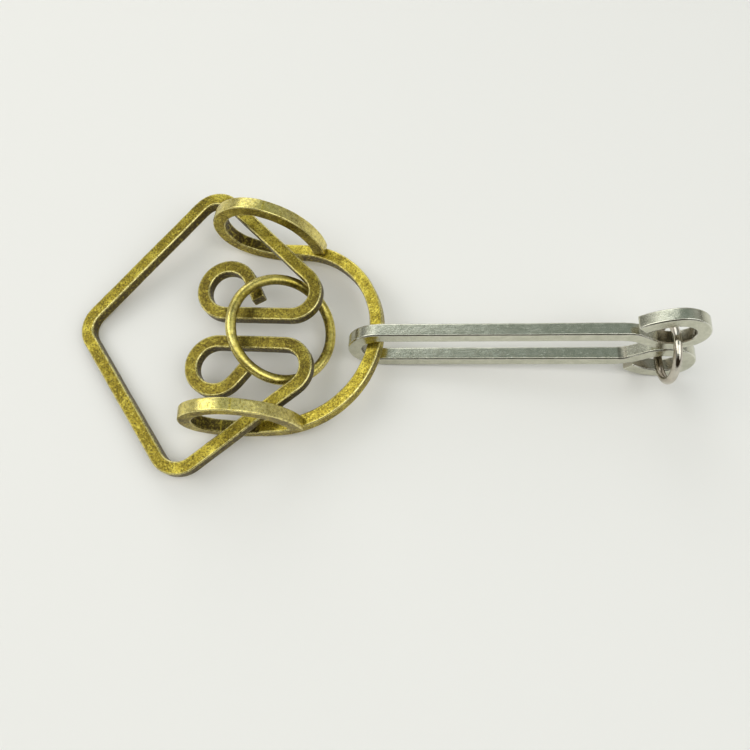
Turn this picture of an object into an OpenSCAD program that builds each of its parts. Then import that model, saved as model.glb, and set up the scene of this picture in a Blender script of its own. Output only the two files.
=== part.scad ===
// Bent-metal disentanglement puzzle: a diamond frame with two hairpin arms, a bow with two
// eyes threaded on the frame, a ring caught on the arms, and a long shackle hung on the bow
// whose two eyes are locked together by a small ring.
//
// +Z is up, the puzzle lies on a table at Z = 0, +X runs from the frame's closed corner along
// the shackle. The origin is on the table, under the middle of the puzzle's length and width.

/* [Bronze bar] */
// thickness of the square bronze bar the frame and the bow are bent from
bar_w = 3.5; // [2.4:0.1:4.6]
// width of the small flat worn along each long edge of a square bar
edge_cut = 0.25; // [0.1:0.05:0.8]

/* [Diamond frame] */
// straight side above the closed corner, between its two bends
side_far = 41.6; // [30:0.5:55]
// straight side below the closed corner, between its two bends
side_near = 40.1; // [30:0.5:55]
// half of the turn the bar makes round the closed corner
corner_half = 38.5; // [30:0.5:50]
// bend radius of the closed corner, to the middle of the bar
corner_r = 6.2; // [4:0.5:12]
// turn at the top and bottom corners of the diamond
shoulder_turn = 92.8; // [80:0.5:105]
// bend radius of the top and bottom corners
shoulder_r = 6.4; // [4:0.5:12]
// straight part of the upper bar that leads back to its hairpin
lead_far = 32.5; // [24:0.5:45]
// straight part of the lower bar that leads back to its hairpin
lead_near = 33.3; // [24:0.5:45]
// bend radius of the two hairpins
hairpin_r = 6.3; // [4.5:0.1:9]
// straight length of each arm from hairpin to curl
arm_len = 18.1; // [12:0.5:26]
// bend radius of the curl at the end of each arm
curl_r = 6.7; // [5:0.1:9]
// turn of the upper curl
curl_turn_far = 241; // [200:1:270]
// turn of the lower curl
curl_turn_near = 235; // [200:1:270]
// straight tail after the upper curl
tail_far = 6.5; // [2:0.5:10]
// straight tail after the lower curl
tail_near = 6.5; // [2:0.5:12]

/* [Bow] */
// radius of the bow's arc, to the middle of the bar
bow_r = 26; // [20:0.1:34]
// half of the angle the arc spans
bow_half = 86; // [70:1:92]
// straight bar between the arc and each eye
bow_lead = 4.6; // [1:0.1:8]
// radius of the gentle rise at the foot of each bow eye
bow_rise_r = 18; // [12:0.5:30]
// turn of that gentle rise
bow_rise = 35; // [15:1:45]
// radius of the nose of each bow eye
bow_nose_r = 10.3; // [8:0.1:13]
// radius of the long curve that closes each bow eye
bow_back_r = 19.5; // [16:0.5:40]
// how far behind its foot the cut end of each bow eye lands on the bar
bow_reach = 10.7; // [6:0.5:14]
// outward lean of each bow eye
bow_lean = 3.3; // [0:0.5:12]

/* [Shackle] */
// thickness of the square steel bar of the shackle
steel_w = 3.6; // [2.2:0.1:4.4]
// distance between the middles of the two legs
leg_pitch = 13.4; // [10:0.1:18]
// straight length of each leg
leg_len = 62.5; // [45:1:90]
// angle at which the legs close in on each other
pinch_angle = 33; // [20:1:40]
// bend radius where the legs close in
pinch_r = 5.8; // [4:0.5:10]
// turn of the foot of each shackle eye past the pinch
foot_turn = 17; // [10:1:35]
// radius of the foot of each shackle eye
foot_r = 7.5; // [7:0.5:16]
// radius of the nose of each shackle eye
nose_r = 6; // [3.6:0.1:7]
// radius of the long curve that closes each shackle eye
back_r = 17; // [13:0.5:40]
// how far behind the pinch the cut end of each shackle eye lands on the leg
eye_reach = 8.3; // [7:0.1:12]

/* [Rings] */
// middle-of-wire diameter of the bronze ring
ring_d = 27.8; // [22:0.1:36]
// wire thickness of the bronze ring
ring_wire = 2.8; // [1.8:0.1:3.6]
// middle-of-wire diameter of the small steel ring
lock_d = 15; // [12:0.1:19]
// wire thickness of the small steel ring
lock_wire = 2.2; // [1.4:0.1:2.8]

/* [Hidden] */
$fn = 96;
gap = 0.3;              // clear gap kept between pieces that lie against each other
lap = 0.1;              // how far each straight length runs into the bends beside it
ease = 0.002;           // how much slimmer a straight is than a bend on each side
link = 0.3;             // straight kept between two bends that follow each other
bronze = [0.55, 0.47, 0.16];
steel = [0.62, 0.62, 0.58];

// ---- a bar bent in one plane -------------------------------------------------------------
// a path is a list of [straight length, bend radius, turn]; a turn to the left is positive.
// the bar starts at the origin heading +X, and bends in the XY plane.

module section(w) {
  c = edge_cut;
  h = w / 2;
  polygon([[h - c, -h], [h, c - h], [h, h - c], [h - c, h],
           [c - h, h], [-h, h - c], [-h, c - h], [c - h, -h]]);
}

module straight(len, w) {
  translate([-lap, 0, 0]) rotate([90, 0, 90])
    linear_extrude(height = len + 2 * lap) section(w - 2 * ease);
}

module bend(r, turn, w) {
  side = turn > 0 ? 1 : -1;
  from = turn > 0 ? -90 : 90 + turn;
  translate([0, side * r, 0]) rotate([0, 0, from])
    rotate_extrude(angle = abs(turn)) translate([r, 0]) section(w);
}

module bar_path(path, w, i = 0) {
  len = path[i][0];
  r = path[i][1];
  turn = path[i][2];
  side = turn > 0 ? 1 : -1;
  if (len > 0) straight(len, w);
  if (turn != 0) translate([len, 0, 0]) bend(r, turn, w);
  if (i + 1 < len_of(path))
    translate([len, side * r, 0]) rotate([0, 0, turn]) translate([0, -side * r, 0])
      bar_path(path, w, i + 1);
}

function len_of(list) = len(list);

// where a path ends: [x, y, heading]
function path_end(path, i = 0, at = [0, 0, 0]) =
  i == len(path) ? at :
  let (len = path[i][0], r = path[i][1], turn = path[i][2], side = turn > 0 ? 1 : -1,
       h = at[2], x = at[0] + len * cos(h), y = at[1] + len * sin(h),
       cx = x - side * r * sin(h), cy = y + side * r * cos(h))
  path_end(path, i + 1, [cx + side * r * sin(h + turn), cy - side * r * cos(h + turn), h + turn]);

// ---- an eye ------------------------------------------------------------------------------
// the bar leaves along +X, rises from its foot, goes round a nose and comes back over itself in
// one long curve. The cut end stands `reach` behind the foot and `seat` above the bar's middle.

function eye_path(foot_r, foot, nose, back, reach, seat) =
  let (cx = (foot_r - nose) * sin(foot), cy = foot_r - (foot_r - nose) * cos(foot),
       d = norm([-reach - cx, seat - cy]),
       k = back - nose,
       toward = atan2(seat - cy, -reach - cx),
       away = acos((d * d + k * k - back * back) / (2 * d * k)),
       bx = cx + k * cos(toward + away), by = cy + k * sin(toward + away),
       leave = atan2(cy - by, cx - bx),
       land = atan2(seat - by, -reach - bx))
  [[link, foot_r, foot],
   [link, nose, (leave + 90 - foot + 720) % 360],
   [link, back, (land - leave + 720) % 360]];

// ---- diamond frame -----------------------------------------------------------------------
// local: the middle of the closed corner is the origin, +X the frame's axis, flat in XY.

function frame_path(side, lead, curl_turn, tail) =
  [[link / 2, corner_r, corner_half], [side, shoulder_r, shoulder_turn],
   [lead, hairpin_r, hairpin_turn], [arm_len, curl_r, curl_turn], [tail, 0, 0]];

function reversed(path) = [for (s = path) [s[0], s[1], -s[2]]];

hairpin_turn = 270 - corner_half - shoulder_turn;   // leaves the arms parallel to the axis
far_path = reversed(frame_path(side_far, lead_far, curl_turn_far, tail_far));
near_path = frame_path(side_near, lead_near, curl_turn_near, tail_near);

module frame_flat() {
  rotate([0, 0, 90]) bar_path(far_path, bar_w);
  rotate([0, 0, -90]) bar_path(near_path, bar_w);
}

// ---- bow ---------------------------------------------------------------------------------
// local: the middle of the arc's circle is the origin, the crown of the arc on +X, flat in XY,
// with the eyes standing up along +Z.

bow_seat = bar_w / 2 + gap;
bow_eye = eye_path(bow_rise_r, bow_rise, bow_nose_r, bow_back_r, bow_reach, bow_seat);

module bow_side(side) {
  rotate([0, 0, side > 0 ? 90 : -90]) translate([0, -side * bow_r, 0])
    bar_path([[link / 2, bow_r, side * bow_half], [bow_lead, 0, 0]], bar_w);
  foot = path_end([[link / 2, bow_r, side * bow_half], [bow_lead, 0, 0]], 0,
                  [bow_r, 0, side * 90]);
  translate([foot[0], foot[1], 0]) rotate([0, 0, foot[2]]) rotate([90 + side * bow_lean, 0, 0])
    bar_path(bow_eye, bar_w);
}

module bow_flat() {
  bow_side(1);
  bow_side(-1);
}

// ---- shackle -----------------------------------------------------------------------------
// local: the middle of the hairpin bend is the origin, +X along the legs, flat in XY.

pinch_y = (steel_w + gap) / 2;                       // middle of a leg where the legs close
fall = leg_pitch / 2 - pinch_y;                      // how far each leg comes in
slope_len = (fall - (pinch_r + foot_r) * (1 - cos(pinch_angle))) / sin(pinch_angle);
foot_back = foot_r * sin(pinch_angle);               // from the pinch back to the slope
slope_y = foot_r * (1 - cos(pinch_angle)) + (eye_reach - foot_back) * tan(pinch_angle);
eye_seat = min(slope_y, fall) + steel_w / 2 + steel_w / 2 / cos(pinch_angle) + gap;
pinch_x = leg_len + (pinch_r + foot_r) * sin(pinch_angle) + slope_len * cos(pinch_angle);

module leg(side) {
  path = concat([[leg_len, pinch_r, -side * pinch_angle],
                 [slope_len, foot_r, side * pinch_angle]],
                [for (s = eye_path(foot_r, foot_turn, nose_r, back_r, eye_reach, eye_seat))
                   [s[0], s[1], side * s[2]]]);
  translate([0, side * leg_pitch / 2, 0]) bar_path(path, steel_w);
}

module shackle_flat() {
  translate([0, leg_pitch / 2, 0]) rotate([0, 0, 180]) bend(leg_pitch / 2, 180, steel_w);
  leg(1);
  leg(-1);
}

// ---- rings -------------------------------------------------------------------------------

module ring_flat(d, wire) {
  rotate_extrude() translate([d / 2, 0]) circle(d = wire);
}

// ---- how the pieces lie ------------------------------------------------------------------
// the frame leans on the bow's feet, its closed corner on the table. The bow's eyes stand on the
// table and its crown is held up between the legs of the shackle. Every place follows the sizes.

function turn_x(v, a) = [v[0], v[1] * cos(a) - v[2] * sin(a), v[1] * sin(a) + v[2] * cos(a)];
function turn_y(v, a) = [v[0] * cos(a) + v[2] * sin(a), v[1], v[2] * cos(a) - v[0] * sin(a)];
function turn_z(v, a) = [v[0] * cos(a) - v[1] * sin(a), v[0] * sin(a) + v[1] * cos(a), v[2]];
function turned(v, r) = turn_z(turn_y(turn_x(v, r[0]), r[1]), r[2]);

// frame: the hairpins stand clear of the bow's feet
hairpin_start = path_end([for (i = [0:2]) i < 2 ? far_path[i] : [lead_far, 0, 0]], 0, [0, 0, 90]);
hairpin_near = path_end([for (i = [0:2]) i < 2 ? near_path[i] : [lead_near, 0, 0]], 0, [0, 0, -90]);
far_centre = [hairpin_start[0] + hairpin_r * sin(hairpin_start[2]),
              hairpin_start[1] - hairpin_r * cos(hairpin_start[2])];
near_centre = [hairpin_near[0] - hairpin_r * sin(hairpin_near[2]),
               hairpin_near[1] + hairpin_r * cos(hairpin_near[2])];
hairpin_x = (far_centre[0] + near_centre[0]) / 2;
hairpin_y = (far_centre[1] + near_centre[1]) / 2;
frame_rise = 2.53 * bar_w;                           // how high the hairpins stand
frame_tilt = asin(frame_rise / hairpin_x);
frame_roll = 4.4;
frame_yaw = -5.6;
frame_turn = [frame_roll, -frame_tilt, frame_yaw];
rest_z = 0.1;                                        // air left between a piece and the table
frame_from = [0, 0, bar_w / 2 * (1 + sin(frame_tilt)) + rest_z];

// the shackle's own heights, which the bow's crown depends on
shackle_lean = 4;
eye_top = foot_r - (foot_r - nose_r) * cos(foot_turn) + nose_r;
eye_half = eye_top + pinch_y + steel_w / 2;          // shackle's middle line to the eye's back
bend_half = (leg_pitch + steel_w) / 2;

// bow: each eye goes round a lead of the frame
foot_at = path_end([[link / 2, bow_r, bow_half], [bow_lead, 0, 0]], 0, [bow_r, 0, 90]);
bow_mid_x = foot_at[0] - (bow_rise_r - bow_nose_r) * sin(bow_rise);
crown_z = bend_half * cos(shackle_lean) + 0.9;
bow_tilt = asin((crown_z - bar_w / 2 - rest_z - 0.03 * bow_rise_r) / (bow_r - foot_at[0]));
bow_turn = [0, -bow_tilt, -5.4];
bow_z = bar_w / 2 + 2 * rest_z - foot_at[0] * sin(bow_tilt) + bow_rise_r * (1 - cos(bow_tilt));
lead_back = (foot_at[1] - (hairpin_start[1] - hairpin_near[1]) / 2) / tan(hairpin_turn - 90);
threaded = frame_from + turned([hairpin_start[0] / 2 + hairpin_near[0] / 2 - lead_back,
                              hairpin_start[1] / 2 + hairpin_near[1] / 2, 0], frame_turn);
bow_from = [threaded[0] - bow_mid_x - 3.2, threaded[1] + 1.1, bow_z];

// ring: over the curls, down through the hairpins and out under their bends
ring_lean = 2 + asin(((bar_w + ring_wire) / 2 + gap) / (arm_len / 2 - 2.6));
ring_from = frame_from + turned([hairpin_x - 2, hairpin_y + 0.5, -0.6], frame_turn);

// shackle: hung on the crown of the bow, one leg above the other
shackle_rise = asin((eye_half - bend_half) * cos(shackle_lean) / pinch_x);
shackle_turn = [90 - shackle_lean, -shackle_rise, -2.2];
crown_at = bow_from + turned([bow_r, 0, 0], bow_turn);
shackle_from = [crown_at[0] + leg_pitch / 2 - steel_w / 2 - bar_w / 2 - 2.2,
              crown_at[1] - 2.4,
              bend_half * cos(shackle_lean) + steel_w / 2 * sin(shackle_lean) + rest_z];

// small ring: through both shackle eyes, round the two pinched bars, hanging forward and down
// until its inside comes up against the far corner of the upper bar
pinch_at = shackle_from + turned([pinch_x, 0, 0], shackle_turn);
hang = [0, -0.78, -0.62];
corner = [0, -steel_w / 2, -pinch_y - steel_w / 2];
lock_room = (lock_d - lock_wire) / 2 - gap - rest_z;
lock_drop = sqrt(pow(hang * corner, 2) + pow(lock_room, 2) - corner * corner) - hang * corner;
lock_from = pinch_at + [0.4, 0, 0] + lock_drop * hang;

// the middle of the whole puzzle, which every piece is shifted by. A round of radius r that lies in
// a piece's own XY plane reaches r * spread(turn, axis) along a table axis.
function spread(r, axis) = norm([turned([1, 0, 0], r)[axis], turned([0, 1, 0], r)[axis]]);
nose_at = shackle_from + turned([pinch_x + link + (foot_r - nose_r) * sin(foot_turn) + link,
                                 -pinch_y - foot_r + (foot_r - nose_r) * cos(foot_turn), 0],
                                shackle_turn);
far_shoulder = path_end([far_path[0], [side_far, 0, 0]], 0, [0, 0, 90]);
near_shoulder = path_end([near_path[0], [side_near, 0, 0]], 0, [0, 0, -90]);
far_at = frame_from + turned([far_shoulder[0] + shoulder_r * sin(far_shoulder[2]),
                              far_shoulder[1] - shoulder_r * cos(far_shoulder[2]), 0], frame_turn);
near_at = frame_from + turned([near_shoulder[0] - shoulder_r * sin(near_shoulder[2]),
                               near_shoulder[1] + shoulder_r * cos(near_shoulder[2]), 0], frame_turn);
first_x = turned([corner_r, 0, 0], frame_turn)[0] - (corner_r + bar_w / 2) * spread(frame_turn, 0);
last_x = nose_at[0] + (nose_r + steel_w / 2) * spread(shackle_turn, 0);
middle = [(first_x + last_x) / 2, (far_at[1] + near_at[1]) / 2, 0];

module frame() {
  color(bronze) translate(frame_from - middle) rotate(frame_turn) frame_flat();
}

module bow() {
  color(bronze) translate(bow_from - middle) rotate(bow_turn) bow_flat();
}

module ring() {
  color(bronze) translate(ring_from - middle) rotate(frame_turn) rotate([0, ring_lean, 0])
    ring_flat(ring_d, ring_wire);
}

module shackle() {
  color(steel) translate(shackle_from - middle) rotate(shackle_turn) shackle_flat();
}

module lock_ring() {
  color(steel) translate(lock_from - middle) rotate([0, 90, 0]) ring_flat(lock_d, lock_wire);
}

frame();
bow();
ring();
shackle();
lock_ring();
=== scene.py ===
# %% [markdown]
# # A bent-metal disentanglement puzzle
# Five loose pieces make this puzzle: a diamond frame, a bow, a ring, a long shackle and a small ring.
# All of them were bent from plain bar or wire and then plated. The CAD model gives each piece its
# place. Here each one is drawn again as it looks after years in a drawer: edges rounded and rubbed
# bright, faces mottled, bends slightly swollen on the inside.

# %% Load the frame
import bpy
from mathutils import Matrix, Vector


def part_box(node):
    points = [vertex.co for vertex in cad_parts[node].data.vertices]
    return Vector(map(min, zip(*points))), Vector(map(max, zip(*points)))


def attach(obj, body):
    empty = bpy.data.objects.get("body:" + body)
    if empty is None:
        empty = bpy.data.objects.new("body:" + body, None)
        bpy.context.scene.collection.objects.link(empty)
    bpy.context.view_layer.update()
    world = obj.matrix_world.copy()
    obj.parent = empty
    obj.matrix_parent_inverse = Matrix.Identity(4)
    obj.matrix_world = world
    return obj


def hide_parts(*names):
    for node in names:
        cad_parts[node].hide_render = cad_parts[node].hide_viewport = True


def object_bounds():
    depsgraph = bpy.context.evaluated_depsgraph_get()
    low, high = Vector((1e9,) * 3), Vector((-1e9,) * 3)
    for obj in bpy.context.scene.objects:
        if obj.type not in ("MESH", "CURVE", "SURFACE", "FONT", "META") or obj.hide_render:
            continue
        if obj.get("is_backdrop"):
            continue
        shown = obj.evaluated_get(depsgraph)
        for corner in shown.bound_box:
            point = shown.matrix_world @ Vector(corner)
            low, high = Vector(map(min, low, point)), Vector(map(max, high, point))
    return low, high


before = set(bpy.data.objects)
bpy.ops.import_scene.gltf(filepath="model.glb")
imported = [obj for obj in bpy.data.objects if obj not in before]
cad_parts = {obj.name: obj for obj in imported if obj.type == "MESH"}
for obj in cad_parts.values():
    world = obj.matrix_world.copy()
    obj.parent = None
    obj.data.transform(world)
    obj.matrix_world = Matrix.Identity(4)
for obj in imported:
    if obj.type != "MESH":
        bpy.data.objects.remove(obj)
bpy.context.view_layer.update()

# %% [markdown]
# ## Modules and units
# The rest of Blender's modules come in here. The puzzle's sizes are in millimetres, as a maker would
# write them on a sketch, and a mesh is turned into metres only when its points are written. The
# table, the lights and the camera are in metres.

# %% Modules and units
import bpy
from math import acos, atan2, cos, degrees, exp, hypot, pi, radians, sin, tan
from mathutils import Matrix, Vector
MM = 0.001
print("one millimetre is", MM, "m")

# %% [markdown]
# ## How a bent bar is described
# A wire bender reads a bar as a list: so far straight, then this radius through this angle. The same
# list makes a centre line here. Each sample on it keeps its place, its heading and how sharply the
# bar curves there, because a bent bar is not the same shape in a bend as in a straight.

# %% Centre lines
PATH_STEP = 0.45        # distance between two cross-sections along a bar
FEWEST_STEPS = 4        # cross-sections in the shortest bend


def walk(path, start=(0.0, 0.0, 0.0)):
    """Samples (x, y, heading in radians, curvature) along a path of (straight, radius, turn)."""
    x, y, heading = start[0], start[1], radians(start[2])
    samples = []
    for length, radius, turn in path:
        count = max(1, round(length / PATH_STEP))
        for i in range(count if length > 0 else 0):
            along = length * i / count
            samples.append((x + along * cos(heading), y + along * sin(heading), heading, 0.0))
        x += length * cos(heading)
        y += length * sin(heading)
        if turn == 0:
            continue
        side = 1 if turn > 0 else -1
        centre = (x - side * radius * sin(heading), y + side * radius * cos(heading))
        count = max(FEWEST_STEPS, round(radius * radians(abs(turn)) / PATH_STEP))
        for i in range(count):
            h = heading + radians(turn) * i / count
            samples.append((centre[0] + side * radius * sin(h), centre[1] - side * radius * cos(h),
                            h, side / radius))
        heading += radians(turn)
        x = centre[0] + side * radius * sin(heading)
        y = centre[1] - side * radius * cos(heading)
    samples.append((x, y, heading, 0.0))
    return samples


print("a quarter bend of 6 mm radius has", len(walk([(0, 6, 90)])), "samples")

# %% [markdown]
# ## An eye
# Each eye is three bends that follow each other: a foot that lifts the bar, a nose that turns it
# round, and one long back that brings the cut end down onto the bar again. The last two turns are
# not chosen. They follow from where the end has to land, which is a triangle of circle centres.

# %% The eye's path
LINK = 0.3              # straight kept between two bends that follow each other
GAP = 0.3               # clear gap between two bars that lie against each other


def eye_path(foot_r, foot, nose_r, back_r, reach, seat):
    """The foot turns by a chosen angle. The cut end lands reach behind the start, seat above it."""
    nose_x = (foot_r - nose_r) * sin(radians(foot))
    nose_y = foot_r - (foot_r - nose_r) * cos(radians(foot))
    distance = hypot(-reach - nose_x, seat - nose_y)
    apart = back_r - nose_r
    toward = atan2(seat - nose_y, -reach - nose_x)
    away = acos((distance ** 2 + apart ** 2 - back_r ** 2) / (2 * distance * apart))
    back_x = nose_x + apart * cos(toward + away)
    back_y = nose_y + apart * sin(toward + away)
    leave = degrees(atan2(nose_y - back_y, nose_x - back_x))
    land = degrees(atan2(seat - back_y, -reach - back_x))
    return [(LINK, foot_r, foot),
            (LINK, nose_r, (leave + 90 - foot) % 360),
            (LINK, back_r, (land - leave) % 360)]


sample_eye = eye_path(foot_r=18, foot=35, nose_r=10.3, back_r=19.5, reach=10.7, seat=2)
print("an eye turns", round(sum(turn for _, _, turn in sample_eye), 1), "degrees in all")

# %% [markdown]
# ## The bar's cross-section
# A square bar is a square with worn corners carried along its centre line. The bronze-coloured bars'
# long edges were tumbled round. The steel bar's edges are a narrow flat at 45 degrees, which catches
# one thin bright line. Each point also keeps how close it is to a long edge, so that the finish can
# be rubbed bright there, and which way it faces, so that its sides can take painted shade.

# %% Cross-section
ACROSS_FLAT = (-1.0, -0.86, -0.5, 0.0, 0.5, 0.86)    # shares of the way across a flat face
EDGE_STEPS = 5          # points round each long edge
CRISP_STEPS = (0.0, 0.1, 0.4, 0.7, 0.9)     # the same points on a flat cut at 45 degrees
BORDER_WEAR = 0.3       # edge share where a face meets its long edge; it nears 1 on the edge


def turned(across, up, angle):
    return across * cos(angle) - up * sin(angle), across * sin(angle) + up * cos(angle)


def square_section(width, edge_r, crisp):
    """Points (across, up, edge share, facing across, facing up) round a square. Its long edges
    are rounded, or cut to a narrow flat if crisp."""
    inner = width / 2 - edge_r
    points = []
    for quarter in range(4):
        turn = radians(90 * quarter)
        for step in ACROSS_FLAT:
            worn = BORDER_WEAR if abs(step) == 1 else 0.0
            points.append((*turned(width / 2, inner * step, turn), worn, cos(turn), sin(turn)))
        for i in range(EDGE_STEPS):
            worn = BORDER_WEAR + (1 - BORDER_WEAR) * sin(pi * i / EDGE_STEPS)
            along = radians(90) * i / EDGE_STEPS
            out_a, out_b = cos(along), sin(along)
            if crisp:
                out_b = CRISP_STEPS[i]
                out_a = 1 - out_b
            corner = turned(inner + edge_r * out_a, inner + edge_r * out_b, turn)
            points.append((*corner, worn, cos(turn + along), sin(turn + along)))
    return points


print("a bar's cross-section has", len(square_section(3.5, 0.34, crisp=False)), "points")

# %% [markdown]
# ## What the hand and the years did, and painted shade
# Three small things make a swept bar look bent rather than extruded. No hand-bent bar is perfectly
# straight, so the centre line wanders by a few hundredths of a millimetre. Its long edges are rubbed
# back unevenly. And each point keeps how much painted shade it takes: the bar's sides some, the
# inside of a bend most, with the patina left there. Sums of sine waves do this better than random
# numbers: they are smooth, and the same every time.

# %% Wander, nicks and shade
WAVES = ((1.0, 6.28, 1.0), (0.6, 13.1, 2.3), (0.4, 29.7, 4.1))    # (height, pace, shift by the seed)
BAR_WAVE = 23.0         # length of a bar's slowest sway
NICK_WAVE = 7.0         # length of an edge's slowest dip
NICK_GROUP = 8          # points next to each other that share their dips
NICK_SHIFT = 1.7        # how far the dips of two groups are shifted
HOLLOW = 0.95           # how much painted shade the inside of a bend takes, with the patina left there


def wander(s, seed, wave=BAR_WAVE):
    """A slow, repeatable wave between -1 and 1 along the bar."""
    return sum(height * sin(s / wave * pace + shift * seed) for height, pace, shift in WAVES) / 2


def nicked(s, seed, k, depth):
    """How far point k of the cross-section is rubbed back: from nothing to depth."""
    return depth * (1 + wander(s, seed + k // NICK_GROUP * NICK_SHIFT, NICK_WAVE)) / 2


def inward(facing, bend):
    """How squarely a spot faces the inside of a bend."""
    return facing * ((bend > 0) - (bend < 0))


def shade_and_hollow_share(facing_a, facing_u, bend_a, bend_u, side_share, all_over):
    """How much painted shade a spot takes: the bar's sides some, the inside of a bend most, with the
    patina left there.
    """
    inside = max(inward(facing_a, bend_a), inward(facing_u, bend_u), 0.0)
    return max(side_share * facing_a ** 2, HOLLOW * inside ** 2, all_over)


print("10 mm along, a bar strays by", round(wander(10, 1.0), 2), "of its widest sway")

# %% [markdown]
# ## From points to a piece
# Every piece becomes one mesh that carries two numbers at each point: how worn it is, and how much
# painted shade it takes, with patina in its hollows. A finish reads them by name. A painted image
# could hold the same, but each piece would have to be unwrapped for it first.

# %% A piece from its points
def new_piece(name, points, faces, wear, dull):
    mesh = bpy.data.meshes.new(name)
    mesh.from_pydata([p * MM for p in points], [], faces)
    mesh.polygons.foreach_set("use_smooth", [True] * len(mesh.polygons))
    mesh.attributes.new("edge_wear", "FLOAT", "POINT").data.foreach_set("value", wear)
    mesh.attributes.new("shade_and_patina", "FLOAT", "POINT").data.foreach_set("value", dull)
    mesh.update()
    piece = bpy.data.objects.new(name, mesh)
    bpy.context.collection.objects.link(piece)
    print(name, "has", len(mesh.vertices), "points")
    return piece


print("pieces carry edge_wear and sheltered")

# %% [markdown]
# ## A cut end
# A cropped and tumbled end has a small chamfer and a slightly hollow face, painted dark as shade. The
# chamfer is one smaller cross-section at the very end. The face is a rim of four-sided faces round a
# fan.

# %% Close an end
END_CHAMFER = 0.14      # chamfer on a cut end
END_WEAR = 0.8          # how worn the chamfer's edge is
FACE_SHARE = 0.93       # size of the fan on a cut face
FACE_WEAR = 0.1
# painted shade on a cut face
CUT_FACE_SHADE = 0.9


def close_end(points, faces, wear, dull, first, count, flip):
    """Closes the ring of count points that starts at number first."""
    middle = sum((points[first + k] for k in range(count)), Vector()) / count
    inner = len(points)
    points.extend(middle.lerp(points[first + k], FACE_SHARE) for k in range(count))
    points.append(middle)
    wear.extend([FACE_WEAR] * count + [0.0])
    # the cut face takes painted shade, in full at its middle
    dull.extend([CUT_FACE_SHADE] * count + [1.0])
    for k in range(count):
        n = (k + 1) % count
        quad = (first + k, first + n, inner + n, inner + k)
        fan = (inner + k, inner + n, inner + count)
        faces.append(tuple(reversed(quad)) if flip else quad)
        faces.append(tuple(reversed(fan)) if flip else fan)


print("a cut end has a chamfer of", END_CHAMFER, "mm")

# %% [markdown]
# ## Sweeping the bar
# The sweep takes a list of stations. A station is a point, the bar's direction, its two across
# directions and its curvature in each. Inside a bend the metal is squeezed, so the bar gets a little
# wider there and narrower outside. A curve with a bevel would be quicker to write, but it can't
# swell on one side only, and it can't carry wear.

# %% Sweep a bar
SQUEEZE = 0.16          # how much a bend widens the bar on its inside
RIM_SHINE = 0.60        # how far the outside of a bow eye is rubbed bright
SIDEWAYS = 5            # shift of the seed between the upward and the sideways sway


def sweep(name, stations, width, edge_r, sides, rub=0.05, stray=0.04, seed=1.0, crisp=False):
    """Builds the bar's mesh. A station is (point, direction, across, up, bend across, bend up).
    sides(station number) says how much painted shade the bar's two sides and the whole bar take
    there."""
    outline = square_section(width, edge_r, crisp)
    count = len(outline)
    points, wear, dull, faces = [], [], [], []
    travelled = 0.0
    before = stations[0][0]
    total = len(stations)
    rings = [(0, True)] + [(i, False) for i in range(total)] + [(total - 1, True)]
    for number, (i, is_end) in enumerate(rings):
        at, direction, across, up, bend_a, bend_u = stations[i]
        travelled += (at - before).length
        before = at
        pull = END_CHAMFER * ((number == 1) - (number == len(rings) - 2))
        centre = (at + direction * pull + up * stray * wander(travelled, seed)
                  + across * stray * wander(travelled, seed + SIDEWAYS))
        scale = (width - 2 * END_CHAMFER * is_end) / width
        for k, (a, u, share, facing_a, facing_u) in enumerate(outline):
            size = scale * (1 - share * nicked(travelled, seed, k, rub) / width)
            wide_a = 1 + SQUEEZE * bend_u * u
            wide_u = 1 + SQUEEZE * bend_a * a
            points.append(centre + across * (a * size * wide_a) + up * (u * size * wide_u))
            rim = max(0.0, -facing_u) if bend_u > 0 else 0.0
            wear.append(max(share, END_WEAR * is_end, RIM_SHINE * rim ** 4))
            # painted shade on the bar's sides, and on the inside of a bend with the patina left there
            dull.append(shade_and_hollow_share(facing_a, facing_u, bend_a, bend_u, *sides(i)))
    for r in range(len(rings) - 1):
        for k in range(count):
            n = (k + 1) % count
            faces.append((r * count + k, r * count + n, (r + 1) * count + n, (r + 1) * count + k))
    close_end(points, faces, wear, dull, 0, count, flip=True)
    close_end(points, faces, wear, dull, (len(rings) - 1) * count, count, flip=False)
    return new_piece(name, points, faces, wear, dull)


print("a 3.5 mm bar swells by", round(100 * SQUEEZE * (3.5 / 2) / 6, 1), "% inside a 6 mm bend")

# %% [markdown]
# ## Where each piece lies
# A placement is three turns, about X, then Y, then Z, and a shift. The CAD model says where each
# piece is, and these repeat its places, so that a swept bar covers the CAD bar it stands for.

# %% Placing
def placed(shift, turns):
    rx, ry, rz = (Matrix.Rotation(radians(a), 4, axis) for a, axis in zip(turns, "XYZ"))
    return Matrix.Translation(Vector(shift)) @ rz @ ry @ rx


def flat_stations(samples, place):
    """Stations of a bar that lies in one plane: up is the plane's own normal."""
    turn = place.to_3x3()
    up = turn @ Vector((0, 0, 1))
    made = []
    for x, y, heading, curve in samples:
        direction = turn @ Vector((cos(heading), sin(heading), 0))
        across = turn @ Vector((-sin(heading), cos(heading), 0))
        made.append((place @ Vector((x, y, 0)), direction, across, up, curve, 0.0))
    return made


def turned_round(stations):
    """The same stations walked the other way, so that two halves make one bar."""
    return [(p, -d, -a, u, -ca, cu) for p, d, a, u, ca, cu in reversed(stations)]


print("a placement is three turns and a shift")

# %% [markdown]
# ## Diamond frame
# One square bar makes the whole frame. It starts at the closed corner and runs both ways: a long
# side, a shoulder, a lead, a hairpin, an arm and a curl. The two halves were bent by eye, so they
# differ by a millimetre or two. Giving each half its own side, lead and curl keeps that.

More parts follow.
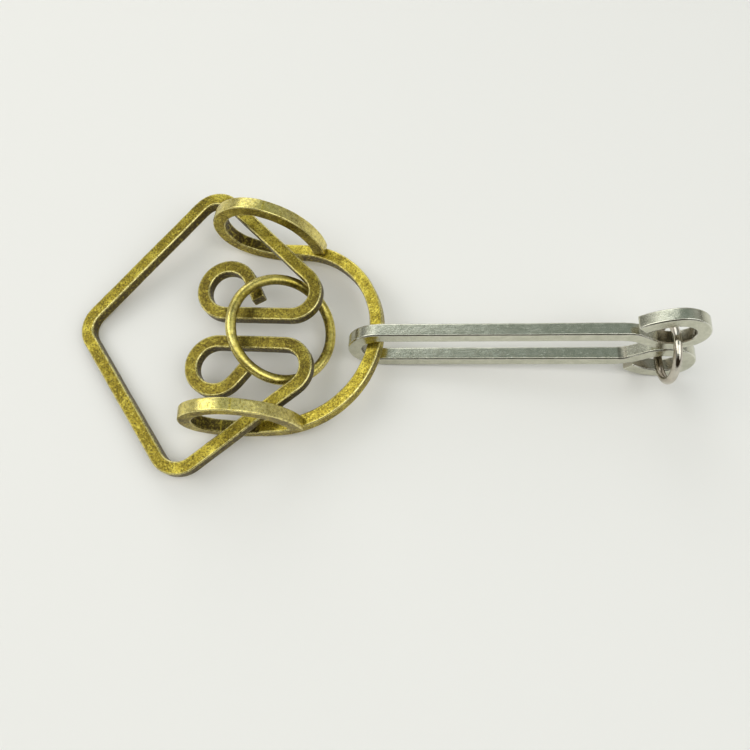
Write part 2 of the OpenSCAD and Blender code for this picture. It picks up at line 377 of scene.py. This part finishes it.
# %% The frame's two halves
BAR = 3.5
BAR_EDGE = 0.34         # radius of the rubbed long edges
CORNER = 38.5           # bends in degrees: the corner's half, the shoulder and what is left
SHOULDER = 92.8
HAIRPIN = 270 - CORNER - SHOULDER
CORNER_R = 6.2
SHOULDER_R = 6.4
HAIRPIN_R = 6.3
CURL_R = 6.7
ARM = 18.1
TAIL = 6.5              # straight after a curl, up to the cut end
FRAME_TURNS = (4.4, -9.0058, -5.6)
FRAME_PLACE = placed((-80.612, 2.4804, 2.1239), FRAME_TURNS)


def half_frame(hand, side, lead, curl):
    """One half's samples. It is bent to the right if hand is -1 and to the left if it is 1."""
    path = [(LINK / 2, CORNER_R, CORNER), (side, SHOULDER_R, SHOULDER), (lead, HAIRPIN_R, HAIRPIN),
            (ARM, CURL_R, curl), (TAIL, 0, 0)]
    return walk([(length, radius, hand * turn) for length, radius, turn in path], (0, 0, -90 * hand))


far_half = half_frame(-1, side=41.6, lead=32.5, curl=241)
near_half = half_frame(1, side=40.1, lead=33.3, curl=235)
far_stations = flat_stations(far_half, FRAME_PLACE)
near_stations = flat_stations(near_half, FRAME_PLACE)
print("the frame is cut from", round((len(far_half) + len(near_half)) * PATH_STEP), "mm of bar")

# %% [markdown]
# Painted shade: the frame's arms and curls sit inside the other pieces, so they are made browner all
# over than the four long sides, and the sides of the bar are browner than its top all the way round.

# %% The frame's bar
OUTER_X = 30            # the frame is on the outside up to this far from its corner
OUTER_Y = 18            # or from this far off its middle
FADE = 12               # stations over which the arms turn browner
# painted shade on the bar's sides, and all over the arms and curls
SIDE_SHADE = 0.90
ARM_SHADE = 0.42
station_count = len(far_stations) + len(near_stations) - 1
inner_count = sum(abs(y) <= OUTER_Y and x >= OUTER_X for x, y, _, _ in far_half)


def frame_sides(i):
    """How much painted shade the bar's sides and the whole bar take at a station."""
    from_end = min(i, station_count - 1 - i)
    return SIDE_SHADE, ARM_SHADE * min(1.0, max(0.0, (inner_count - from_end) / FADE))


frame_bar = sweep("frame_bar", turned_round(far_stations) + near_stations[1:], BAR, BAR_EDGE,
                  frame_sides, seed=2.0)

# %% [markdown]
# ## Bow
# The bow is a half circle with a large eye at each end. The bar leaves the half circle level and
# then lifts out of its plane, so from here on "up" turns with the bar and "across" stays still.
# Its eyes were rubbed on everything they hang on, so their outsides are the brightest bronze.

# %% Bow
BOW_R = 26
BOW_HALF = 86           # degrees of arc on either side of the crown
BOW_LEAD = 4.6
BOW_LEAN = 3.3          # lean of an eye's plane in degrees
# painted shade on the bow's sides
BOW_SIDE_SHADE = 0.35
BOW_EYE = eye_path(foot_r=18, foot=35, nose_r=10.3, back_r=19.5, reach=10.7, seat=BAR / 2 + GAP)
BOW_PLACE = placed((-26.6298, -0.4687, 3.1631), (0, -14.0574, -5.4))


def bow_half(side):
    arc = walk([(LINK / 2, BOW_R, side * BOW_HALF), (BOW_LEAD, 0, 0)], (BOW_R, 0, side * 90))
    stations = flat_stations(arc, BOW_PLACE)
    x, y, heading, _ = arc[-1]
    lift = (BOW_PLACE @ Matrix.Translation((x, y, 0)) @ Matrix.Rotation(heading, 4, "Z")
            @ Matrix.Rotation(radians(90 + side * BOW_LEAN), 4, "X"))
    turn = lift.to_3x3()
    across = turn @ Vector((0, 0, -1))
    for ex, ey, h, curve in walk(BOW_EYE)[1:]:
        direction = turn @ Vector((cos(h), sin(h), 0))
        up = turn @ Vector((-sin(h), cos(h), 0))
        stations.append((lift @ Vector((ex, ey, 0)), direction, across, up, 0.0, curve))
    return stations


bow_stations = turned_round(bow_half(1)) + bow_half(-1)[1:]
bow_bar = sweep("bow_bar", bow_stations, BAR, BAR_EDGE, lambda i: (BOW_SIDE_SHADE, 0.0), seed=6.0)

# %% [markdown]
# ## Shackle
# The shackle is harder bar, a touch thicker. Its hairpin end is a plain half circle, its legs run
# parallel and then close in until they all but touch, and each ends in a small eye. How long the
# closing slope is follows from the two bends, and where the eye's cut end lands follows from it.

# %% Shackle
STEEL = 3.6
STEEL_EDGE = 0.25       # width of the flat cut on each long edge, measured along a face
PITCH = 13.4            # between the middles of the two legs
LEG = 62.5
PINCH = 33              # degrees by which a leg closes in
PINCH_R = 5.8
FOOT_R = 7.5
FOOT = 17               # degrees
NOSE_R = 6
BACK_R = 17
REACH = 8.3
pinch_y = (STEEL + GAP) / 2
fall = PITCH / 2 - pinch_y
slope = (fall - (PINCH_R + FOOT_R) * (1 - cos(radians(PINCH)))) / sin(radians(PINCH))
slope_y = (FOOT_R * (1 - cos(radians(PINCH)))
           + (REACH - FOOT_R * sin(radians(PINCH))) * tan(radians(PINCH)))
seat = min(slope_y, fall) + STEEL / 2 + STEEL / 2 / cos(radians(PINCH)) + GAP
SHACKLE_PLACE = placed((-0.5703, -5.2422, 8.7049), (86, -5.6785, -2.2))


def shackle_half(side):
    eye = eye_path(FOOT_R, FOOT, NOSE_R, BACK_R, REACH, seat)
    path = [(0, PITCH / 2, -side * 90), (LEG, PINCH_R, -side * PINCH), (slope, FOOT_R, side * PINCH)]
    path += [(length, radius, side * turn) for length, radius, turn in eye]
    return flat_stations(walk(path, (-PITCH / 2, 0, side * 90)), SHACKLE_PLACE)


shackle_stations = turned_round(shackle_half(1)) + shackle_half(-1)[1:]
shackle_bar = sweep("shackle_bar", shackle_stations, STEEL, STEEL_EDGE, lambda i: (0.0, 0.0),
                    rub=0.03, stray=0.02, seed=9.0, crisp=True)
print("each leg's closing slope is", round(slope, 2), "mm long")

# %% [markdown]
# ## The two rings
# Both rings are round wire closed on itself. A real ring is never a perfect torus: it is a hair out
# of round, and a fine groove shows where its two ends were pressed together. Blender's own torus
# has neither, so the ring is written out. Its outside is rubbed, and its inside takes painted shade.

# %% Rings
RING_STEPS = 168        # round the ring
WIRE_STEPS = 24         # round the wire
GROOVE_DEPTH = 0.05     # depth of the joint's groove as a share of the wire
GROOVE_REACH = 0.28     # half its width
OUT_OF_ROUND = 0.03
RING_WEAR = 0.3         # middle of the ring's wear, and how much the outside adds
PATCH_WEAR = 0.2
PATCH_PACE = 20         # how fast worn patches follow each other round a ring
RING_INSIDE_SHADE = 0.8       # how much painted shade the inside of a ring takes


def wire_ring(name, diameter, wire, place, joint_at, seed):
    points, wear, dull, faces = [], [], [], []
    for i in range(RING_STEPS):
        turn = 2 * pi * i / RING_STEPS
        off = (turn - radians(joint_at) + pi) % (2 * pi) - pi
        groove = GROOVE_DEPTH * wire * exp(-(off * diameter / 2 / GROOVE_REACH) ** 2)
        radius = diameter / 2 + OUT_OF_ROUND * sin(2 * turn + seed)
        for k in range(WIRE_STEPS):
            a = 2 * pi * k / WIRE_STEPS
            r = wire / 2 - groove
            out = radius + r * cos(a)
            points.append(place @ Vector((out * cos(turn), out * sin(turn), r * sin(a))))
            patches = PATCH_WEAR * wander(turn * PATCH_PACE + k, seed)
            wear.append(min(1, max(0, RING_WEAR * (1 + cos(a)) + patches)))
            # painted shade on the inside of the ring
            dull.append(max(0.0, -cos(a)) * RING_INSIDE_SHADE)
    for i in range(RING_STEPS):
        here, there = i * WIRE_STEPS, (i + 1) % RING_STEPS * WIRE_STEPS
        for k in range(WIRE_STEPS):
            n = (k + 1) % WIRE_STEPS
            faces.append((here + k, there + k, there + n, here + n))
    return new_piece(name, points, faces, wear, dull)


print("a ring is made of", RING_STEPS * WIRE_STEPS, "faces")

# %% [markdown]
# The bronze ring lies across the frame's two arms and leans on them, so its place is the frame's
# turns and then a lean of its own. The small ring hangs upright through both of the shackle's eyes.
# Each has its joint at its own place round the ring.

# %% Bronze ring and small ring
RING_LEAN = 34.336      # degrees
RING_PLACE = (placed((-26.7601, -1.4001, 10.1774), FRAME_TURNS)
              @ Matrix.Rotation(radians(RING_LEAN), 4, "Y"))
LOCK_PLACE = placed((73.1677, -9.6047, 14.7744), (0, 90, 0))
bronze_ring = wire_ring("bronze_ring", diameter=27.8, wire=2.8, place=RING_PLACE, joint_at=200,
                        seed=1.0)
small_ring = wire_ring("small_ring", diameter=15, wire=2.2, place=LOCK_PLACE, joint_at=75, seed=4.0)

# %% [markdown]
# ## Finishes
# Antique bronze is brass-coloured plate that was darkened and then tumbled. Tumbling rubs the dark
# off where metal meets metal, so flats turn a mottled olive gold with fine brown specks, edges turn
# bright, and hollows stay dark. The bars' sides, cut ends and hollows are also painted darker, as
# shade. It could be painted on an image. Nodes are used instead, because they need no unwrapping and
# stay sharp at any size. First come short words for the nodes.

# %% A material, and what a mesh carries
def new_material(name):
    material = bpy.data.materials.new(name)
    material.use_nodes = True
    return material, material.node_tree, material.node_tree.nodes["Principled BSDF"]


def on_the_piece(tree):
    """A spot's place on its own piece, so that a finish moves with the piece."""
    return tree.nodes.new("ShaderNodeTexCoord").outputs["Object"]


def carried(tree, attribute):
    """A number that the mesh carries at each point."""
    made = tree.nodes.new("ShaderNodeAttribute")
    made.attribute_name = attribute
    return made.outputs["Fac"]


print("helpers ready: new_material, on_the_piece and carried")

# %% [markdown]
# A noise is given by the size of its blotches. Blender's scale is blotches to a metre, so half a
# millimetre is a scale of 2000. Its result stays near the middle of 0 to 1, and spread() pulls the
# part that matters out to a full range. A range written high to low turns the result over.

# %% Noise and its range
def noise(tree, where, size_mm, detail=3.0, rough=0.55):
    """A noise whose blotches are about size_mm across."""
    made = tree.nodes.new("ShaderNodeTexNoise")
    made.inputs["Scale"].default_value = 1000 / size_mm
    made.inputs["Detail"].default_value = detail
    made.inputs["Roughness"].default_value = rough
    tree.links.new(where, made.inputs["Vector"])
    return made.outputs["Fac"]


def spread(tree, value, start_end, to=(0.0, 1.0)):
    made = tree.nodes.new("ShaderNodeMapRange")
    made.inputs["From Min"].default_value, made.inputs["From Max"].default_value = start_end
    made.inputs["To Min"].default_value, made.inputs["To Max"].default_value = to
    tree.links.new(value, made.inputs["Value"])
    return made.outputs["Result"]


print("blotches of 0.5 mm are a noise scale of", 1000 / 0.5)

# %% [markdown]
# Colours are laid over each other as the real layers are: plate, then patina, then wear. A ramp
# turns a noise into shades of one metal, and mix() lays one colour over another by a share.

# %% Ramps and mixes
def ramp(tree, value, stops):
    made = tree.nodes.new("ShaderNodeValToRGB")
    while len(made.color_ramp.elements) < len(stops):
        made.color_ramp.elements.new(0.5)
    for element, (at, colour) in zip(made.color_ramp.elements, stops):
        element.position = at
        element.color = (*colour, 1)
    tree.links.new(value, made.inputs["Fac"])
    return made.outputs["Color"]


def mix(tree, share, under, over):
    made = tree.nodes.new("ShaderNodeMix")
    made.data_type = "RGBA"
    made.clamp_factor = True
    tree.links.new(share, made.inputs["Factor"])
    for socket, value in ((made.inputs["A"], under), (made.inputs["B"], over)):
        if isinstance(value, tuple):
            socket.default_value = (*value, 1)
        else:
            tree.links.new(value, socket)
    return made.outputs["Result"]


def maths(tree, how, first, second):
    made = tree.nodes.new("ShaderNodeMath")
    made.operation = how
    made.use_clamp = how == "MULTIPLY"
    for socket, value in zip(made.inputs, (first, second)):
        if isinstance(value, float):
            socket.default_value = value
        else:
            tree.links.new(value, socket)
    return made.outputs["Value"]


print("colours can be laid over each other")

# %% [markdown]
# Small dents are bump: they are too fine and too many for the mesh, and shallow enough that an
# outline never shows them. A bump can stand on an earlier one, so fine specks ride on wide ripples.

# %% Bump
BUMP_STRENGTH = 0.6


def bump(tree, height, depth_mm, before=None):
    made = tree.nodes.new("ShaderNodeBump")
    made.inputs["Strength"].default_value = BUMP_STRENGTH
    made.inputs["Distance"].default_value = depth_mm * MM
    tree.links.new(height, made.inputs["Height"])
    if before:
        tree.links.new(before, made.inputs["Normal"])
    return made.outputs["Normal"]


print("bumps are given by their depth in mm")

# %% [markdown]
# ## Antique bronze
# The plate itself has three golds, from dull to clean, and two browns: the patina in its pores, and
# a brown for painted shade on the bars' sides and in hollows, where it also stands for the film left
# there. Four noises of four sizes spread them: specks of patina, glints of clean plate, clouds, and
# slow dull patches. Each range below says between which two values of its noise one look gives way
# to the other. Sizes and depths are in millimetres.

# %% Bronze colours and mottling
GOLD = ((0.18, 0.135, 0.017), (0.34, 0.265, 0.032), (0.56, 0.47, 0.078))    # dull, plain, clean
PATINA = (0.055, 0.040, 0.014)
# a brown for painted shade on the bars' sides and in hollows, with the film left there
SHADE_AND_PATINA_BROWN = (0.066, 0.046, 0.018)
RUBBED_GOLD = (0.98, 0.88, 0.38)
SPECK, GLINT, CLOUD, PATCH = 0.42, 0.75, 4.5, 15.0
CLOUD_STOPS = (0.34, 0.52, 0.70)        # where the three golds lie in the clouds
PATCH_RANGE = (0.42, 0.66)
PATCH_DULL = 0.6        # how dull a slow patch gets
GLINT_RANGE = (0.52, 0.68)
GLINT_CLEAN = 0.7       # how clean a glint gets
SPECK_RANGE = (0.53, 0.40)
SHADE_FILM_RANGE = (0.66, 0.44)
SHADE_FILM_SHARE = (0.45, 1.0)        # painted shade and brown film left on a glint and beside it
WEAR_RANGE = (0.34, 0.52)
WEAR_SHARE = (0.25, 0.8)        # bright metal on a worn edge beside a glint and on it
print("the finest mottling is", SPECK, "mm across")

# %% [markdown]
# The layers go on in the order that the real ones did. Patina specks lie on the gold, a brown of
# painted shade and film lies on the bars' sides and in hollows, and bright metal shows on worn edges.
# The shade film and the wear are both broken up by the glints, so that neither ends at a clean line.
# Specks are rougher than plate, and edges smoother.

# %% Antique bronze
PLATE_METAL = 0.95      # a little less than bare metal, for the dull film on it
ROUGH_RANGE = (0.35, 0.62)
EDGE_POLISH = 0.20      # how much smoother a worn edge is
SPECK_DEPTH = 0.045
CLOUD_DEPTH = 0.10


def antique_bronze(name, tone, speckle, rough_low, rough_high):
    material, tree, shader = new_material(name)
    where = on_the_piece(tree)
    edge = carried(tree, "edge_wear")
    shade_and_patina = carried(tree, "shade_and_patina")
    speck = noise(tree, where, SPECK, detail=5.0, rough=0.65)
    glint = noise(tree, where, GLINT, rough=0.6)
    cloud = noise(tree, where, CLOUD)
    patch = noise(tree, where, PATCH, detail=2.0)
    shades = [tuple(tone * part for part in colour) for colour in GOLD]
    dull, _, clean = shades
    gold = ramp(tree, cloud, list(zip(CLOUD_STOPS, shades)))
    gold = mix(tree, spread(tree, patch, PATCH_RANGE, (0.0, PATCH_DULL)), gold, dull)
    gold = mix(tree, spread(tree, glint, GLINT_RANGE, (0.0, GLINT_CLEAN)), gold, clean)
    specked = mix(tree, spread(tree, speck, SPECK_RANGE, (0.0, speckle)), gold, PATINA)
    # painted shade: the brown laid on the bars' sides and in hollows, with the film left there
    shade_film = maths(tree, "MULTIPLY", shade_and_patina, spread(tree, glint, SHADE_FILM_RANGE, SHADE_FILM_SHARE))
    aged_and_shaded = mix(tree, shade_film, specked, SHADE_AND_PATINA_BROWN)
    rubbed = maths(tree, "MULTIPLY", edge, spread(tree, glint, WEAR_RANGE, WEAR_SHARE))
    colour = mix(tree, rubbed, aged_and_shaded, RUBBED_GOLD)
    tree.links.new(colour, shader.inputs["Base Color"])
    shader.inputs["Metallic"].default_value = PLATE_METAL
    rough = spread(tree, speck, ROUGH_RANGE, (rough_high, rough_low))
    rough = maths(tree, "SUBTRACT", rough, maths(tree, "MULTIPLY", edge, EDGE_POLISH))
    tree.links.new(rough, shader.inputs["Roughness"])
    fine = bump(tree, speck, SPECK_DEPTH)
    tree.links.new(bump(tree, cloud, CLOUD_DEPTH, fine), shader.inputs["Normal"])
    print("made", name)
    return material


print("the bronze finish is", PLATE_METAL, "metal")

# %% [markdown]
# One function makes three finishes. The bow and the ring were rubbed more than the frame, so their
# gold is lighter, and the ring, which rolls in the hand, kept the fewest specks.

# %% Three bronze finishes
frame_bronze = antique_bronze("antique_bronze", tone=1.0, speckle=0.80,
                              rough_low=0.36, rough_high=0.52)
bow_bronze = antique_bronze("bow_bronze", tone=1.65, speckle=0.70,
                            rough_low=0.36, rough_high=0.50)
ring_bronze = antique_bronze("bronze_wire_plate", tone=1.55, speckle=0.30,
                             rough_low=0.34, rough_high=0.46)

# %% [markdown]
# ## Satin nickel
# The shackle is nickel plate over steel, satin from tumbling. It is grey with a faint green or warm
# cast, with fine scratches and small dark pits. Inside its bends, on its cut ends and inside the
# small ring, a darker grey is painted as shade. Scratches are a noise stretched along X, the way that
# the bar runs. The small ring is the same plate left bright.

# %% Satin nickel
PIT_GREY = (0.14, 0.13, 0.10)
# painted shade inside bends, on cut ends and inside the small ring
HOLLOW_SHADE_GREY = (0.16, 0.13, 0.09)
RUBBED_NICKEL = (0.90, 0.89, 0.82)
PIT, SCRATCH, TARNISH = 0.5, 0.25, 2.0      # sizes of the three noises
ALONG_THE_BAR = (0.05, 1.0, 1.0)        # stretches a noise twenty times along X
TARNISH_RANGE = (0.38, 0.62)
PIT_RANGE = (0.38, 0.30)
SCRATCH_RANGE = (0.3, 0.7)
PIT_SHARE = 0.6         # how much of its colour a pit takes
HOLLOW_SHADE_SHARE = 0.6
RUBBED_SHARE = 0.6
SCRATCH_DEPTH = 0.010
RIPPLE_DEPTH = 0.07


def satin_nickel(name, rough_low, rough_high, tint, dull_tint):
    material, tree, shader = new_material(name)
    where = on_the_piece(tree)
    edge = carried(tree, "edge_wear")
    shade_and_patina = carried(tree, "shade_and_patina")
    pit = noise(tree, where, PIT, detail=4.0, rough=0.65)
    tarnish = noise(tree, where, TARNISH, detail=5.0, rough=0.7)
    stretch = tree.nodes.new("ShaderNodeMapping")
    stretch.inputs["Scale"].default_value = ALONG_THE_BAR
    tree.links.new(where, stretch.inputs["Vector"])
    scratch = noise(tree, stretch.outputs["Vector"], SCRATCH, detail=2.0)
    plate = mix(tree, spread(tree, tarnish, TARNISH_RANGE), tint, dull_tint)
    plate = mix(tree, spread(tree, pit, PIT_RANGE, (0.0, PIT_SHARE)), plate, PIT_GREY)
    # painted shade: the darker grey laid inside bends, on cut ends and inside the small ring
    plate = mix(tree, maths(tree, "MULTIPLY", shade_and_patina, HOLLOW_SHADE_SHARE), plate, HOLLOW_SHADE_GREY)
    colour = mix(tree, maths(tree, "MULTIPLY", edge, RUBBED_SHARE), plate, RUBBED_NICKEL)
    tree.links.new(colour, shader.inputs["Base Color"])
    shader.inputs["Metallic"].default_value = 1.0
    rough = spread(tree, scratch, SCRATCH_RANGE, (rough_low, rough_high))
    tree.links.new(rough, shader.inputs["Roughness"])
    scratched = bump(tree, scratch, SCRATCH_DEPTH)
    tree.links.new(bump(tree, tarnish, RIPPLE_DEPTH, scratched), shader.inputs["Normal"])
    print("made", name)
    return material


nickel = satin_nickel("satin_nickel", rough_low=0.16, rough_high=0.28,
                      tint=(0.64, 0.635, 0.52), dull_tint=(0.52, 0.52, 0.41))
bright = satin_nickel("bright_nickel", rough_low=0.07, rough_high=0.14,
                      tint=(0.46, 0.40, 0.31), dull_tint=(0.33, 0.28, 0.21))

# %% [markdown]
# ## Dressing the pieces
# Every piece takes its finish, the CAD body it moves with and the CAD node it stands for.
# The loop also measures how far each piece's box is from its CAD box, as a check on its place.

# %% Finish and ride
for piece, node, slot, finish in ((frame_bar, "frame", "bronze_bar", frame_bronze),
                                  (bow_bar, "bow", "bronze_bar", bow_bronze),
                                  (bronze_ring, "ring", "bronze_wire", ring_bronze),
                                  (shackle_bar, "shackle", "nickel_bar", nickel),
                                  (small_ring, "lock_ring", "bright_wire", bright)):
    piece.data.materials.append(finish)
    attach(piece, node)
    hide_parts(node)
    low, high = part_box(node)
    mine = [piece.matrix_world @ v.co for v in piece.data.vertices]
    off = max(max(abs(min(p[a] for p in mine) - low[a]), abs(max(p[a] for p in mine) - high[a]))
              for a in range(3))
    print(node, "stands within", round(off * 1000, 2), "mm of its CAD box")

# %% [markdown]
# ## Table
# The puzzle lies on a plain off-white table. One large flat square is enough. It is matt, so that
# it shows soft shadows and no reflections.

# %% Table
TABLE_HALF = 1.5        # metres, far larger than the puzzle so that its edge is rarely in view
OFF_WHITE = (0.875, 0.852, 0.815, 1)
TABLE_ROUGH = 0.7
table_mesh = bpy.data.meshes.new("table")
table_corners = [(x * TABLE_HALF, y * TABLE_HALF, 0) for x, y in ((-1, -1), (1, -1), (1, 1), (-1, 1))]
table_mesh.from_pydata(table_corners, [], [(0, 1, 2, 3)])
table = bpy.data.objects.new("table", table_mesh)
bpy.context.collection.objects.link(table)
table_finish, _, table_shader = new_material("off_white_table")
table_shader.inputs["Base Color"].default_value = OFF_WHITE
table_shader.inputs["Roughness"].default_value = TABLE_ROUGH
table_mesh.materials.append(table_finish)
table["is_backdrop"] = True
print("the table is", 2 * TABLE_HALF, "m across")

# %% [markdown]
# ## Light
# Large lights give soft shadows and wide, calm highlights on metal. One stands high on the left and
# one high on the right, a little cooler. A long strip on the ceiling draws the bright line along
# the edges that face forward, and a window behind lifts the far sides off the table.

# %% Light
def soft_light(name, at, size, power, colour):
    """A round light in metres and watts that points at the puzzle."""
    data = bpy.data.lights.new(name, "AREA")
    data.shape = "DISK"
    data.size = size
    data.energy = power
    data.color = colour
    light = bpy.data.objects.new(name, data)
    light.location = at
    light.rotation_euler = (-Vector(at)).to_track_quat("-Z", "Y").to_euler()
    bpy.context.collection.objects.link(light)
    print(name, "gives", power, "W")
    return data


STRIP_WIDTH = 0.50
WARM, COOL, SKY, WHITE = (1.0, 0.99, 0.96), (0.96, 0.98, 1.0), (0.97, 0.99, 1.0), (1.0, 1.0, 1.0)
soft_light("high_left", at=(-0.66, 0.12, 0.76), size=0.80, power=2.9, colour=WARM)
soft_light("high_right", at=(0.60, -0.25, 0.75), size=1.00, power=2.6, colour=COOL)
strip = soft_light("ceiling_strip", at=(0.0, -0.28, 0.96), size=1.60, power=3.4, colour=WHITE)
strip.shape = "RECTANGLE"
strip.size_y = STRIP_WIDTH
soft_light("window", at=(-0.25, 0.85, 0.60), size=0.80, power=2.4, colour=SKY)

# %% [markdown]
# ## Room
# The room is brightest on its upper walls, and dark towards the skirting and where the person
# looking stands. The dark part is what draws a thin black line beside the bright one along a
# polished edge. Lowest of all is a plain pale wall, so that nothing dark shows past the table in a
# low view.

# %% Room
PALE_WALL = (0.72, 0.72, 0.69)
SKIRTING = (0.10, 0.10, 0.09)
UPPER_WALL = (0.46, 0.47, 0.45)
CEILING = (0.28, 0.325, 0.31)
CEILING_MIDDLE = (0.25, 0.295, 0.28)
ONLOOKER = (0.035, 0.026, 0.018)
HEIGHTS = ((0.00, PALE_WALL), (0.15, PALE_WALL), (0.24, SKIRTING), (0.50, UPPER_WALL),
           (0.80, CEILING), (1.00, CEILING_MIDDLE))    # from 0, level, to 1, straight up
ABOVE_WALL = (0.15, 0.22)       # heights between which the onlooker begins
IN_FRONT = (-0.52, -0.64)       # how far forward a direction points where the onlooker begins
world = bpy.data.worlds.new("room")
world.use_nodes = True
room_tree = world.node_tree
split = room_tree.nodes.new("ShaderNodeSeparateXYZ")
way = room_tree.nodes.new("ShaderNodeTexCoord").outputs["Generated"]
room_tree.links.new(way, split.inputs["Vector"])
walls = ramp(room_tree, split.outputs["Z"], HEIGHTS)
in_front = spread(room_tree, split.outputs["Y"], IN_FRONT)
above_wall = spread(room_tree, split.outputs["Z"], ABOVE_WALL)
onlooker = maths(room_tree, "MULTIPLY", in_front, above_wall)
room_light = room_tree.nodes["Background"]
room_tree.links.new(mix(room_tree, onlooker, walls, ONLOOKER), room_light.inputs["Color"])
room_light.inputs["Strength"].default_value = 1.0
bpy.context.scene.world = world
bpy.context.scene.view_settings.view_transform = "Standard"
print("the room has", len(HEIGHTS), "heights of colour")

# %% [markdown]
# ## Camera
# The camera looks steeply down from the front, as at something lying on a desk. It is close, so the
# near side of the puzzle is drawn a little larger than the far side, and everything is in focus.

# %% Camera
DISTANCE = 0.2266       # metres from what it looks at
ELEVATION = radians(69)
LENS = 39.8             # mm, on a sensor 36 mm wide
SENSOR = 36
LOOK_AT = Vector((-0.00201, -0.01052, 0))
camera_data = bpy.data.cameras.new("camera")
camera_data.lens = LENS
camera_data.sensor_width = SENSOR
camera = bpy.data.objects.new("camera", camera_data)
camera.location = LOOK_AT + Vector((0, -cos(ELEVATION), sin(ELEVATION))) * DISTANCE
camera.rotation_euler = (radians(90) - ELEVATION, 0, 0)
bpy.context.collection.objects.link(camera)
bpy.context.scene.camera = camera
print("the camera stands", round(camera.location.z * 100, 1), "cm above the table")

# %% [markdown]
# ## Sizes
# The box of the finished pieces is printed, in millimetres. The pieces have to stay inside the
# CAD box.

# %% Sizes and finish
low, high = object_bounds()
print("visual box in mm:", [round(v * 1000, 1) for v in (*low, *high)])
